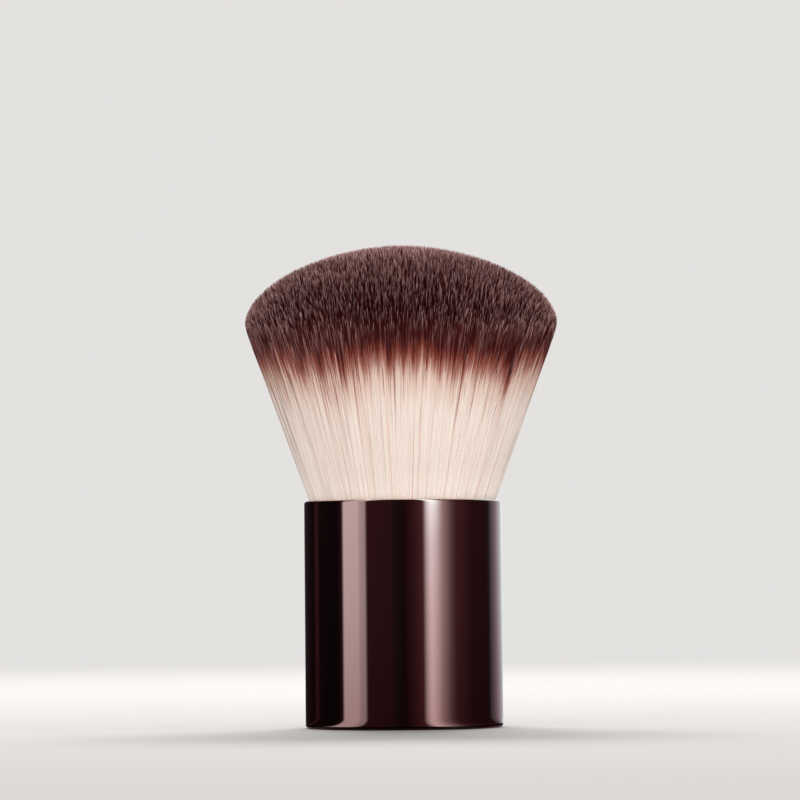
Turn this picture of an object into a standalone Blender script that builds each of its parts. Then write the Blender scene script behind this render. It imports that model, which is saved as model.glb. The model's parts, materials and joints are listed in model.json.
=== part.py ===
"""A short round finishing brush for powder, standing on its handle.

A drawn metal shell holds a steel weight and a moulded core. The core carries a thin cup, in which the tied and glued
root of the bristle knot stands. The bristles leave the shell's mouth and splay out to a wide, shallow dome.
Sizes are in metres, +Z is up, and the origin is the middle of the base.
"""

import math
import random

import bmesh
import bpy
from mathutils import Matrix

# Handle shell
HANDLE_DIAMETER = 0.0320
HANDLE_HEIGHT = 0.0367
SHELL_WALL = 0.0006
SHELL_FLOOR = 0.0008
BASE_EDGE_RADIUS = 0.0009
LIP_RADIUS = 0.00045

# Bristle head, above the mouth of the shell
HEAD_DIAMETER = 0.0508
DOME_RISE = 0.0125
SHOULDER_HEIGHT = 0.0291
DOME_POWER = 1.111

# Steel weight in the bottom of the shell
WEIGHT_HEIGHT = 0.0080
WEIGHT_BORE_RADIUS = 0.0029
WEIGHT_CHAMFER = 0.0008

# Moulded core, pressed in above the weight
CORE_FLOOR = 0.0016
CORE_WALL = 0.0012
SPIGOT_LENGTH = 0.0060
SPIGOT_CHAMFER = 0.0004
RIB_COUNT = 12
RIB_WIDTH = 0.0012
RIB_DEPTH = 0.0008
RIB_OVERLAP = 0.0003
RIB_LEAD_IN = 0.0015

# Cup for the root of the knot
CUP_WALL = 0.0005
CUP_DEPTH = 0.0127
CUP_CORNER_RADIUS = 0.0012
FLANGE_WIDTH = 0.0010

# Set glue in the bottom of the cup
GLUE_DEPTH = 0.0046
MENISCUS_RISE = 0.0004
MENISCUS_WIDTH = 0.0012

# Thread wound round the root
THREAD_DIAMETER = 0.0007
THREAD_TURNS = 4
THREAD_OFFSET = 0.0008

# Root of the knot, and the strands that grow from it
ROOT_HEIGHT = 0.0044
ROOT_CHAMFER = 0.0005
STRAND_RINGS = 11
STRANDS_IN_FIRST_RING = 6
STRAND_SIDES = 3
STRAND_FILL = 0.95
STRAND_ANCHOR = 0.0010
TAPER_LENGTH = 0.0048
TIP_SPREAD = 1.25
LENGTH_VARIATION = 0.0014

# Gap kept between pieces that touch, and facets round a full turn
FIT_GAP = 0.0003
ROUND_STEPS = 96
INNER_STEPS = 48
ARC_STEPS = 4
THREAD_ARC_STEPS = 2
MERGE_DISTANCE = 0.00001

# Radii and heights that follow from the sizes above, from the shell inwards and from the base up
SHELL_RADIUS = HANDLE_DIAMETER / 2
SHELL_BORE = SHELL_RADIUS - SHELL_WALL
WEIGHT_RADIUS = SHELL_BORE - FIT_GAP
WEIGHT_BOTTOM = SHELL_FLOOR + FIT_GAP
WEIGHT_TOP = WEIGHT_BOTTOM + WEIGHT_HEIGHT
CORE_BOTTOM = WEIGHT_TOP + FIT_GAP
RIB_RADIUS = SHELL_BORE - FIT_GAP
CORE_RADIUS = RIB_RADIUS - RIB_DEPTH
CORE_BORE = CORE_RADIUS - CORE_WALL
SPIGOT_RADIUS = WEIGHT_BORE_RADIUS - FIT_GAP
CUP_RADIUS = CORE_BORE - FIT_GAP
CUP_BORE = CUP_RADIUS - CUP_WALL
CUP_INNER_RADIUS = CUP_CORNER_RADIUS - CUP_WALL
CUP_BOTTOM = CORE_BOTTOM + CORE_FLOOR + FIT_GAP
CUP_TOP = CUP_BOTTOM + CUP_DEPTH
FLANGE_RADIUS = CUP_RADIUS + FLANGE_WIDTH
CORE_TOP = CUP_TOP - CUP_WALL - FIT_GAP
GLUE_RADIUS = CUP_BORE - FIT_GAP
GLUE_BOTTOM = CUP_BOTTOM + CUP_WALL + FIT_GAP
GLUE_TOP = GLUE_BOTTOM + GLUE_DEPTH
TIE_RADIUS = CUP_BORE - FIT_GAP
TIE_BORE = TIE_RADIUS - THREAD_DIAMETER
ROOT_RADIUS = TIE_BORE - FIT_GAP
ROOT_BOTTOM = GLUE_TOP + FIT_GAP
ROOT_TOP = ROOT_BOTTOM + ROOT_HEIGHT
TIE_BOTTOM = ROOT_BOTTOM + THREAD_OFFSET
MOUTH_RADIUS = SHELL_BORE - FIT_GAP
HEAD_RADIUS = HEAD_DIAMETER / 2
SHOULDER_TOP = HANDLE_HEIGHT + SHOULDER_HEIGHT

# The strands stand in rings, whose shares of the way out run from 0 on the axis to 1 at the edge of the last ring
RING_PITCH = 1 / (STRAND_RINGS + 0.5)
OUTER_SHARE = STRAND_RINGS * RING_PITCH
GOLDEN_ANGLE = math.pi * (3 - math.sqrt(5))
RANDOM_SEED = 7


def linear(channel):
    """One sRGB channel, 0 to 255, as the linear value that a shader takes."""
    share = channel / 255
    return share / 12.92 if share <= 0.04045 else ((share + 0.055) / 1.055) ** 2.4


def material(name, srgb, roughness, metallic):
    made = bpy.data.materials.new(name)
    made.use_nodes = True
    shader = made.node_tree.nodes["Principled BSDF"]
    shader.inputs["Base Color"].default_value = (*(linear(channel) for channel in srgb), 1)
    shader.inputs["Roughness"].default_value = roughness
    shader.inputs["Metallic"].default_value = metallic
    return made


def collection(name):
    made = bpy.data.collections.new(name)
    bpy.context.scene.collection.children.link(made)
    return made


def place(name, mesh, group, finish=None):
    """A mesh as an object in a collection, with its material."""
    made = bpy.data.objects.new(name, mesh)
    group.objects.link(made)
    if finish:
        mesh.materials.append(finish)
    return made


def arc(centre_x, centre_z, radius, start, end, steps=ARC_STEPS):
    """Points on an arc in the XZ plane, with its angles in degrees from +X."""
    points = []
    for step in range(steps + 1):
        angle = math.radians(start + (end - start) * step / steps)
        points.append((centre_x + radius * math.cos(angle), centre_z + radius * math.sin(angle)))
    return points


def turned(name, profile, group, finish, closed=False, steps=INNER_STEPS):
    """A profile turned about Z. It lies at +X and runs down its outer side, and a closed one makes a ring."""
    mesh = bpy.data.meshes.new(name)
    edges = [(i, i + 1) for i in range(len(profile) - 1)]
    if closed:
        edges.append((len(profile) - 1, 0))
    mesh.from_pydata([(x, 0, z) for x, z in profile], edges, [])
    made = place(name, mesh, group, finish)
    screw = made.modifiers.new("Turn", "SCREW")
    screw.steps = steps
    screw.render_steps = steps
    screw.use_merge_vertices = True
    screw.merge_threshold = MERGE_DISTANCE
    screw.use_smooth_shade = False
    return made


def settle(made):
    """Keeps the modelled shape as the object's own mesh, smooth apart from its sharp edges."""
    graph = bpy.context.evaluated_depsgraph_get()
    mesh = bpy.data.meshes.new_from_object(made.evaluated_get(graph))
    made.modifiers.clear()
    made.data = mesh
    mesh.shade_smooth()
    mesh.set_sharp_from_angle(angle=math.radians(35))
    return made


def join(made, other):
    """Adds a closed shape to an object with a Boolean union."""
    union = made.modifiers.new("Join", "BOOLEAN")
    union.operation = "UNION"
    union.solver = "EXACT"
    union.object = other
    other.hide_render = True
    other.display_type = "WIRE"


def handle_shell(group):
    """The drawn metal cup of the handle: a flat base with a rounded edge, a thin wall and a rounded mouth lip."""
    inner = max(BASE_EDGE_RADIUS - SHELL_WALL, FIT_GAP)
    profile = [(0, SHELL_FLOOR)]
    profile += arc(SHELL_BORE - inner, SHELL_FLOOR + inner, inner, -90, 0, 2)
    profile += [(SHELL_BORE, HANDLE_HEIGHT - (SHELL_WALL - LIP_RADIUS))]
    profile += arc(SHELL_RADIUS - LIP_RADIUS, HANDLE_HEIGHT - LIP_RADIUS, LIP_RADIUS, 90, 0)
    profile += arc(SHELL_RADIUS - BASE_EDGE_RADIUS, BASE_EDGE_RADIUS, BASE_EDGE_RADIUS, 0, -90)
    profile += [(0, 0)]
    finish = material("Lacquered metal, dark bronze", (0x2B, 0x12, 0x15), 0.12, 0.85)
    return turned("handle_shell", profile, group, finish, steps=ROUND_STEPS)


def base_weight(group):
    """A turned steel slug with chamfered edges, bored for the core's spigot."""
    profile = [
        (WEIGHT_BORE_RADIUS, WEIGHT_TOP),
        (WEIGHT_RADIUS - WEIGHT_CHAMFER, WEIGHT_TOP),
        (WEIGHT_RADIUS, WEIGHT_TOP - WEIGHT_CHAMFER),
        (WEIGHT_RADIUS, WEIGHT_BOTTOM + WEIGHT_CHAMFER),
        (WEIGHT_RADIUS - WEIGHT_CHAMFER, WEIGHT_BOTTOM),
        (WEIGHT_BORE_RADIUS, WEIGHT_BOTTOM),
    ]
    finish = material("Turned steel", (0x9A, 0x9B, 0x9D), 0.4, 1)
    return turned("base_weight", profile, group, finish, closed=True)


def core_insert(group, cutters):
    """The moulded core: a floor with a spigot below it, a round wall, and crush ribs that centre it in the shell."""
    spigot_end = CORE_BOTTOM - SPIGOT_LENGTH
    profile = [
        (0, CORE_BOTTOM + CORE_FLOOR),
        (CORE_BORE, CORE_BOTTOM + CORE_FLOOR),
        (CORE_BORE, CORE_TOP),
        (CORE_RADIUS, CORE_TOP),
        (CORE_RADIUS, CORE_BOTTOM),
        (SPIGOT_RADIUS, CORE_BOTTOM),
        (SPIGOT_RADIUS, spigot_end + SPIGOT_CHAMFER),
        (SPIGOT_RADIUS - SPIGOT_CHAMFER, spigot_end),
        (0, spigot_end),
    ]
    finish = material("Moulded ABS, black", (0x1C, 0x1B, 0x1B), 0.55, 0)
    core = turned("core_insert", profile, group, finish)
    join(core, crush_ribs(cutters))
    return core


def crush_ribs(cutters):
    """Upright ribs round the core, each shorter at its outer edge so that it starts easily into the shell."""
    ribs = bmesh.new()
    middle = (CORE_BOTTOM + CORE_TOP) / 2
    height = CORE_TOP - CORE_BOTTOM - 2 * RIB_OVERLAP
    for number in range(RIB_COUNT):
        rib = bmesh.ops.create_cube(ribs, size=1)["verts"]
        for vert in rib:
            outer = vert.co.x > 0
            lead_in = RIB_LEAD_IN if outer else 0
            vert.co.x = RIB_RADIUS if outer else CORE_RADIUS - RIB_OVERLAP
            vert.co.y *= RIB_WIDTH
            vert.co.z = middle + vert.co.z * (height - 2 * lead_in)
        turn = Matrix.Rotation(math.tau * number / RIB_COUNT, 3, "Z")
        bmesh.ops.rotate(ribs, verts=rib, cent=(0, 0, 0), matrix=turn)
    mesh = bpy.data.meshes.new("crush_ribs")
    ribs.to_mesh(mesh)
    ribs.free()
    return place("crush_ribs", mesh, cutters)


def ferrule_cup(group):
    """The drawn cup for the knot's root, hung by its flange on top of the core."""
    outer = CUP_CORNER_RADIUS
    inner = CUP_INNER_RADIUS
    profile = [(0, CUP_BOTTOM + CUP_WALL)]
    profile += arc(CUP_BORE - inner, CUP_BOTTOM + CUP_WALL + inner, inner, -90, 0)
    profile += [(CUP_BORE, CUP_TOP), (FLANGE_RADIUS, CUP_TOP)]
    profile += [(FLANGE_RADIUS, CUP_TOP - CUP_WALL), (CUP_RADIUS, CUP_TOP - CUP_WALL)]
    profile += arc(CUP_RADIUS - outer, CUP_BOTTOM + outer, outer, 0, -90)
    profile += [(0, CUP_BOTTOM)]
    finish = material("Drawn aluminium", (0xC4, 0xC5, 0xC8), 0.3, 1)
    return turned("ferrule_cup", profile, group, finish)


def epoxy_plug(group):
    """The set glue below the root, with a meniscus that climbs the cup's wall."""
    corner = CUP_INNER_RADIUS - FIT_GAP
    level = GLUE_TOP - MENISCUS_RISE
    profile = [(0, level), (GLUE_RADIUS - MENISCUS_WIDTH, level), (GLUE_RADIUS, GLUE_TOP)]
    profile += arc(GLUE_RADIUS - corner, GLUE_BOTTOM + corner, corner, 0, -90)
    profile += [(0, GLUE_BOTTOM)]
    finish = material("Set epoxy, amber", (0xC9, 0x9A, 0x55), 0.2, 0)
    return turned("epoxy_plug", profile, group, finish)


def knot_tie(group):
    """The thread wound round the root: a ring with one ridge for each turn."""
    radius = THREAD_DIAMETER / 2
    profile = [(TIE_BORE, TIE_BOTTOM), (TIE_BORE, TIE_BOTTOM + THREAD_TURNS * THREAD_DIAMETER)]
    for number in reversed(range(THREAD_TURNS)):
        middle = TIE_BOTTOM + (number + 0.5) * THREAD_DIAMETER
        ridge = arc(TIE_BORE + radius, middle, radius, 90, -90, THREAD_ARC_STEPS)
        profile += ridge if number == THREAD_TURNS - 1 else ridge[1:]
    finish = material("Waxed thread", (0xE8, 0xE2, 0xD4), 0.8, 0)
    return turned("knot_tie", profile, group, finish, closed=True)


def fan_point(share, turn, rise, shortened=0):
    """A point of the fan of strands: share of the way out from the axis, and rise 0 to 1 from mouth to tip."""
    lean = math.pi / 2 * (share / OUTER_SHARE) ** TIP_SPREAD
    upward = math.cos(lean)
    tip_radius = HEAD_RADIUS * math.sin(lean) ** DOME_POWER
    tip_height = SHOULDER_TOP + DOME_RISE * math.copysign(abs(upward) ** DOME_POWER, upward) - shortened
    radius = MOUTH_RADIUS * share + (tip_radius - MOUTH_RADIUS * share) * rise
    height = HANDLE_HEIGHT + (tip_height - HANDLE_HEIGHT) * rise
    return radius * math.cos(turn), radius * math.sin(turn), height


def root_point(share, turn):
    """The foot of a strand, just under the top of the root."""
    radius = (ROOT_RADIUS - ROOT_CHAMFER) * share
    return radius * math.cos(turn), radius * math.sin(turn), ROOT_TOP - STRAND_ANCHOR


def strand_places():
    """For each strand, its share of the way out, its turn about the axis and half the turn that it may fill."""
    yield 0, 0, 0
    for ring in range(1, STRAND_RINGS + 1):
        count = STRANDS_IN_FIRST_RING * ring
        first = (STRAND_RINGS - ring) * GOLDEN_ANGLE
        for number in range(count):
            yield ring * RING_PITCH, first + math.tau * number / count, math.pi / count


def corner_place(share, turn, half_turn, side):
    """Where one corner of a strand's section lies, as a share of the way out and a turn."""
    angle = math.tau * side / STRAND_SIDES
    reach = STRAND_FILL * RING_PITCH / 2
    if share == 0:
        return reach, angle
    return share + reach * math.cos(angle), turn + STRAND_FILL * half_turn * math.sin(angle)


def strand(grown, share, turn, half_turn, shortened):
    """One closed strand: from its foot to the mouth, on to where it starts to taper, and then to its tip."""
    tip = fan_point(share, turn, 1, shortened)
    taper_rise = 1 - TAPER_LENGTH / (tip[2] - HANDLE_HEIGHT)
    foot, mouth, taper = [], [], []
    for side in range(STRAND_SIDES):
        corner = corner_place(share, turn, half_turn, side)
        foot.append(grown.verts.new(root_point(*corner)))
        mouth.append(grown.verts.new(fan_point(*corner, 0)))
        taper.append(grown.verts.new(fan_point(*corner, taper_rise)))
    point = grown.verts.new(tip)
    for side in range(STRAND_SIDES):
        after = (side + 1) % STRAND_SIDES
        grown.faces.new((foot[side], foot[after], mouth[after], mouth[side]))
        grown.faces.new((mouth[side], mouth[after], taper[after], taper[side]))
        grown.faces.new((taper[side], taper[after], point))
    grown.faces.new(reversed(foot))


def bristles(group, cutters):
    """The knot: a round root, and strands that fan out from it to the dome."""
    chance = random.Random(RANDOM_SEED)
    grown = bmesh.new()
    for share, turn, half_turn in strand_places():
        shortened = LENGTH_VARIATION * chance.random() if 0 < share < OUTER_SHARE else 0
        strand(grown, share, turn, half_turn, shortened)
    mesh = bpy.data.meshes.new("strands")
    grown.to_mesh(mesh)
    grown.free()
    strands = place("strands", mesh, cutters)
    profile = [
        (0, ROOT_TOP),
        (ROOT_RADIUS, ROOT_TOP),
        (ROOT_RADIUS, ROOT_BOTTOM + ROOT_CHAMFER),
        (ROOT_RADIUS - ROOT_CHAMFER, ROOT_BOTTOM),
        (0, ROOT_BOTTOM),
    ]
    finish = material("Synthetic bristle, cream", (0xE6, 0xD9, 0xCD), 0.6, 0)
    knot = turned("bristles", profile, group, finish)
    join(knot, strands)
    return knot


def main():
    for old in list(bpy.data.objects):
        bpy.data.objects.remove(old, do_unlink=True)
    brush = collection("finishing_powder_brush")
    cutters = collection("joined_shapes")
    pieces = [
        handle_shell(brush),
        base_weight(brush),
        core_insert(brush, cutters),
        ferrule_cup(brush),
        epoxy_plug(brush),
        knot_tie(brush),
        bristles(brush, cutters),
    ]
    bpy.context.view_layer.update()
    for piece in pieces:
        settle(piece)


if __name__ == "__main__":
    main()
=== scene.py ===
"""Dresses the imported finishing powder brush: a lacquered handle and a head of fine dyed filaments.

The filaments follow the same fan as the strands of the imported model: straight lines from the mouth of the
handle to a wide, shallow dome. Lengths are in metres, unless a name or a comment says millimetres.
"""

import json
import math
from typing import NamedTuple

import bpy
import numpy as np
from bpy.props import FloatProperty, FloatVectorProperty, IntProperty, PointerProperty
from mathutils import Matrix, Vector

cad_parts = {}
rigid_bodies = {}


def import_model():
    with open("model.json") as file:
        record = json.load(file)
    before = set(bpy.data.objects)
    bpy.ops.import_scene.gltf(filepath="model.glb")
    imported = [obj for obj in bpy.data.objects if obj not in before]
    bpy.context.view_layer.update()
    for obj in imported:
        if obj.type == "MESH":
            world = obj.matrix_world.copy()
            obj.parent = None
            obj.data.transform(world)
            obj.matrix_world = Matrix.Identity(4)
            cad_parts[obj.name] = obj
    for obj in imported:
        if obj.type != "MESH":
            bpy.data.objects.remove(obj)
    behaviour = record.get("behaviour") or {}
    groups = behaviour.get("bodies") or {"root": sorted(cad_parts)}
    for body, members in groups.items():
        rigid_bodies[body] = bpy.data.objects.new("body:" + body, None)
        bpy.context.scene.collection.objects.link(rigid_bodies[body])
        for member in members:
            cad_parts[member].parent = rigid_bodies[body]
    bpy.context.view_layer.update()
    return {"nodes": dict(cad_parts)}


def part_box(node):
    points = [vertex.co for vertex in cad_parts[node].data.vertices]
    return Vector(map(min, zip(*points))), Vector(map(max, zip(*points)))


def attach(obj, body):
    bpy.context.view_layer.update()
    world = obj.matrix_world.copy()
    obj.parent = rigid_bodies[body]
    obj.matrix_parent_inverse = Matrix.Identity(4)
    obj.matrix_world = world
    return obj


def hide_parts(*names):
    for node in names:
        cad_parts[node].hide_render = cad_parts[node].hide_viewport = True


bl_info = {
    "name": "Finishing powder brush",
    "version": (1, 0, 0),
    "blender": (4, 5, 0),
    "location": "View3D > Sidebar > Brush",
    "description": "Builds the handle, the filaments and the stage of a finishing powder brush",
    "category": "Add Mesh",
}

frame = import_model()
SHELL_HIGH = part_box("handle_shell")[1]
HEAD_LOW, HEAD_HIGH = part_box("bristles")

MM = 0.001
# The finish that all the filaments share, and their map of it
FILAMENT = "Synthetic filament, dyed tip"
DYE_MAP = "OFBake"
# Settings that several nodes share: mixing colours rather than numbers, and multiplying
COLOURS = {"data_type": "RGBA"}
TIMES = {"operation": "MULTIPLY"}


def linear(hex_colour):
    """An sRGB hex colour, such as "#EBDDD0", as the linear red, green, blue and alpha that a node takes."""
    channels = [int(hex_colour[i:i + 2], 16) / 255 for i in (1, 3, 5)]
    return [c / 12.92 if c <= 0.04045 else ((c + 0.055) / 1.055) ** 2.4 for c in channels] + [1.0]


def length(name, description, default):
    """A length that a user may change."""
    return FloatProperty(name=name, description=description, default=default, min=0, unit="LENGTH",
                         precision=5)


def colour(name, description, default):
    """A colour that a user may change, from its sRGB hex value."""
    return FloatVectorProperty(name=name, description=description, default=linear(default), size=4, min=0,
                               max=1, subtype="COLOR")


class BrushHandle(bpy.types.PropertyGroup):
    """Sizes and colours of the handle."""
    radius: length("Radius", "Outer radius of the shell", SHELL_HIGH.x)
    height: length("Height", "From the base to the mouth lip", SHELL_HIGH.z)
    wall: length("Wall", "Thickness of the drawn metal", 0.0006)
    floor: length("Floor", "Thickness of the shell's closed base", 0.0008)
    lip: length("Lip radius", "Rounding of the mouth's outer edge", 0.00045)
    base_edge: length("Base edge radius", "Rounding of the edge that it stands on", 0.0005)
    lacquer: colour("Lacquer", "Colour of the lacquered metal in a white surrounding", "#432124")
    # The rolled edge is bright uncoated metal, and its cream tint is a painted reflection of the bristles
    # above
    bare_edge_with_painted_reflection: colour("Bare edge", "The rolled mouth edge, which is left bright", "#F4E6DC")


class BrushHead(bpy.types.PropertyGroup):
    """Sizes, counts and colours of the bristle head."""
    mouth_radius: length("Root radius", "Radius of the bundle where it leaves the mouth", 0.0150)
    radius: length("Head radius", "Radius at the shoulder, the widest place", HEAD_HIGH.x)
    top: length("Top", "Height of the dome's top above the base", HEAD_HIGH.z)
    dome_rise: length("Dome rise", "Height of the dome above the shoulder", 0.0125)
    dome_power: FloatProperty(name="Dome power",
                              description="1 makes the dome half an ellipse, more makes it pointed",
                              default=1.111, min=0.5, max=2)
    edge_lean: FloatProperty(name="Edge lean",
                             description="How far round the shoulder the outermost tips stand",
                             default=math.radians(103), min=math.radians(90), max=math.radians(120),
                             subtype="ANGLE")
    tip_spread: FloatProperty(name="Tip spread", description="Above 1 the inner filaments lean out less",
                              default=1.25, min=0.5, max=3)
    side_count: IntProperty(name="Side filaments", description="Filaments seen along their whole length",
                            default=10500, min=100, max=12000)
    dome_count: IntProperty(name="Dome filaments", description="Filaments seen only near their tips",
                            default=24000, min=1000, max=27000)
    filament: length("Filament width", "Width of one filament, drawn a little coarser than real", 0.00019)
    dye_length: length("Dye length", "How far below the shoulder the dye reaches", 0.0075)
    cream: colour("Undyed", "Undyed filament", "#EBDDD4")
    # Lighter cream at the mouth is painted light, against the shade that falls on the roots next to the lip
    painted_root_light: colour("Painted root light", "Undyed filament close to the mouth, where fingers and powder don't reach",
                  "#F2E6DD")
    stained: colour("Stained", "The few undyed filaments that took a little stain", "#D8B3A2")
    blush: colour("Faded", "Filament just below the dye", "#DDC2B5")
    rust: colour("Dye edge", "Thin dye at the edge of the dyed part", "#843628")
    pale_rust: colour("Faint dye", "Fainter dye beyond the edge", "#B38174")
    maroon: colour("Dye", "Full dye", "#400F0F")
    # The pale dyed tip colour is worn dye, and also painted light where tips are paler at the crown and
    # flanks
    worn_tip_and_painted_light: colour("Dyed tip", "Worn dye at the tips", "#AC8481")


def clear_scene_defaults():
    """Removes the default cube, lamp and camera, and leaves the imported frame."""
    for name in ("Cube", "Light", "Camera"):
        old = bpy.data.objects.get(name)
        if old:
            bpy.data.objects.remove(old, do_unlink=True)


def new_material(name):
    """An empty material with its output: returns the material, its tree and the output's surface socket."""
    made = bpy.data.materials.new(name)
    made.use_nodes = True
    tree = made.node_tree
    tree.nodes.clear()
    output = tree.nodes.new("ShaderNodeOutputMaterial")
    return made, tree, output.inputs["Surface"]


def add(tree, kind, settings=None, **links):
    """One node with its settings and inputs.

    An input is a socket to link, or a value. It is named with _ for each space, or as i and its number.
    """
    node = tree.nodes.new("ShaderNode" + kind)
    for key, value in (settings or {}).items():
        setattr(node, key, value)
    for key, value in links.items():
        where = int(key[1:]) if key[0] == "i" and key[1:].isdigit() else key.replace("_", " ")
        if isinstance(value, bpy.types.NodeSocket):
            tree.links.new(value, node.inputs[where])
        else:
            node.inputs[where].default_value = value
    return node


def fill_ramp(node, stops):
    """Gives a colour ramp its stops, at most 32, from pairs of a position and a colour."""
    elements = node.color_ramp.elements
    while len(elements) > 1:
        elements.remove(elements[-1])
    for number, (position, there) in enumerate(stops):
        stop = elements[0] if number == 0 else elements.new(position)
        stop.position = position
        stop.color = there


def place(name, mesh, finish, smooth=True):
    """A mesh as a piece in the scene, with its material."""
    made = bpy.data.objects.new(name, mesh)
    bpy.context.scene.collection.objects.link(made)
    mesh.materials.clear()
    mesh.materials.append(finish)
    if smooth:
        mesh.shade_smooth()
    return made


def ride_root(piece, slot, *nodes):
    """The piece rides on the brush and stands for CAD nodes, which it hides. slot is not used."""
    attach(piece, "root")
    if nodes:
        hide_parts(*nodes)


def arc(centre_x, centre_z, radius, start, end, steps):
    """Points on an arc in the XZ plane, with its angles in degrees from +X."""
    angles = np.radians(np.linspace(start, end, steps + 1))
    return [(centre_x + radius * math.cos(a), centre_z + radius * math.sin(a)) for a in angles]


def turned_mesh(name, profile, steps):
    """A profile, from the axis out and back to the axis, turned about Z into a closed mesh."""
    turns = np.linspace(0, math.tau, steps, endpoint=False)
    verts, rings = [], []
    for radius, height in profile:
        if radius < 1e-7:
            rings.append([len(verts)] * steps)
            verts.append((0, 0, height))
        else:
            rings.append(list(range(len(verts), len(verts) + steps)))
            verts += [(radius * math.cos(t), radius * math.sin(t), height) for t in turns]
    faces = []
    for above, below in zip(rings, rings[1:]):
        for i in range(steps):
            j = (i + 1) % steps
            corners = [above[i], below[i], below[j], above[j]]
            faces.append(list(dict.fromkeys(corners)))
    mesh = bpy.data.meshes.new(name)
    mesh.from_pydata(verts, [], faces)
    mesh.update()
    return mesh


def lacquered_metal(handle):
    """Metal tube, polished, dyed dark and lacquered clear.

    The dyed metal gives a deep maroon mirror, and the lacquer gives a sharper, paler reflection on top.
    The rolled edge of the mouth is left bright and uncoated, and its metal is tinted the cream of the
    bristles: a painted reflection of the bristles above, which draws a fine line in their colour.
    """
    made, tree, surface = new_material("Lacquered metal, polished dark maroon")
    where = add(tree, "TexCoord").outputs["Object"]
    # Orange peel of sprayed lacquer is about 1.5 mm across, which is about 650 to the metre
    peel = add(tree, "TexNoise", Vector=where, Scale=650, Detail=2, Roughness=0.5)
    bump = add(tree, "Bump", Height=peel.outputs["Fac"], Strength=0.02, Distance=0.00002)
    # Faint handling marks, about 6 mm across, dull the mirror a little
    marks = add(tree, "TexNoise", Vector=where, Scale=160, Detail=4, Roughness=0.6)
    dull = add(tree, "MapRange", Value=marks.outputs["Fac"], From_Min=0.35, From_Max=0.7, To_Min=0.03,
               To_Max=0.05)
    height = add(tree, "SeparateXYZ", Vector=where).outputs["Z"]
    # The lacquer stops 0.2 mm below the top of the mouth. Above it the metal is tinted cream, a painted
    # reflection of the bristles above
    bare_edge_with_painted_reflection = add(tree, "MapRange", Value=height, From_Min=handle.height - 0.20 * MM,
               From_Max=handle.height - 0.14 * MM)
    metal = add(tree, "Mix", COLOURS, i0=bare_edge_with_painted_reflection.outputs["Result"], i6=handle.lacquer, i7=handle.bare_edge_with_painted_reflection)
    # The specular tint gives reflections at a low angle a pink cast
    shader = add(tree, "BsdfPrincipled", Base_Color=metal.outputs[2], Metallic=1.0,
                 Roughness=dull.outputs["Result"], Specular_Tint=linear("#FFCBD3"), Coat_Weight=0.25,
                 Coat_Roughness=0.03, Normal=bump.outputs["Normal"])
    tree.links.new(shader.outputs["BSDF"], surface)
    return made


class BRUSH_OT_handle(bpy.types.Operator):
    """Turn the lacquered metal shell of the handle, with its rounded lip and base edge"""
    bl_idname = "brush.handle"
    bl_label = "Handle shell"

    def execute(self, context):
        size = context.scene.brush_handle
        bore = size.radius - size.wall
        inner_corner = 0.3 * MM
        lip = size.lip
        inner_lip = size.wall - lip
        edge = size.base_edge
        # From the axis over the inside of the floor, up the bore, over the lip, down the outside and back
        profile = [(0, size.floor), (bore * 0.5, size.floor)]
        profile += arc(bore - inner_corner, size.floor + inner_corner, inner_corner, -90, 0, 4)
        profile += [(bore, z) for z in np.linspace(size.floor + 2 * MM, size.height - 1 * MM, 6)]
        profile += arc(bore + inner_lip, size.height - inner_lip, inner_lip, 180, 90, 4)
        profile += arc(size.radius - lip, size.height - lip, lip, 90, 0, 10)
        profile += [(size.radius, z) for z in np.linspace(size.height - lip - 0.1 * MM, edge + 0.1 * MM, 14)]
        profile += arc(size.radius - edge, edge, edge, 0, -90, 12)
        profile += [(bore * 0.5, 0), (0, 0)]
        mesh = turned_mesh("handle_shell_polished", profile, 256)
        shell = place("handle_shell_polished", mesh, lacquered_metal(size))
        mesh.set_sharp_from_angle(angle=math.radians(40))
        ride_root(shell, "lacquered_metal", "handle_shell")
        return {"FINISHED"}


class Fan:
    """The straight lines that filaments follow, from the mouth of the handle to the dome."""

    def __init__(self, handle, head):
        self.mouth = handle.height
        self.mouth_radius = head.mouth_radius
        self.radius = head.radius
        self.rise = head.dome_rise
        self.shoulder = head.top - head.dome_rise
        self.power = head.dome_power
        self.edge = head.edge_lean
        self.spread = head.tip_spread
        self.dye = head.dye_length

    def tips(self, share):
        """Radius and height of the tips at a share, 0 to 1, of the way out."""
        lean = self.edge * np.clip(share, 0, 1) ** self.spread
        upward = np.cos(lean)
        rise = self.rise * np.sign(upward) * np.abs(upward) ** self.power
        return self.radius * np.sin(lean) ** self.power, self.shoulder + rise

    def line(self, share, shortened):
        """Foot radius, tip radius, tip height and length of filaments, with tips drawn in by shortened."""
        tip_r, tip_z = self.tips(share)
        foot_r = self.mouth_radius * share
        full = np.hypot(tip_r - foot_r, tip_z - self.mouth)
        keep = 1 - shortened / full
        tip_r = foot_r + (tip_r - foot_r) * keep
        tip_z = self.mouth + (tip_z - self.mouth) * keep
        return foot_r, tip_r, tip_z, full - shortened

    def depth_of_mouth(self):
        """How far the mouth is below the shoulder, along the outermost filament."""
        return math.hypot(self.shoulder - self.mouth, self.radius - self.mouth_radius)

    def even_shares(self, count, outermost):
        """Shares that spread tips evenly over the dome, in order from the axis to the outermost."""
        fine = np.linspace(0, outermost, 4000)
        r, z = self.tips(fine)
        step = np.hypot(np.diff(r), np.diff(z)) * (r[1:] + r[:-1]) / 2
        area = np.concatenate([[0], np.cumsum(step)])
        return np.interp((np.arange(count) + 0.5) / count * area[-1], area, fine)


# The dye map: its columns of tint, its length in millimetres, and how far along it the shoulder's level is
TINTS = 64
MAP_MM = 72.0
MAP_START_MM = 18.0
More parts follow.
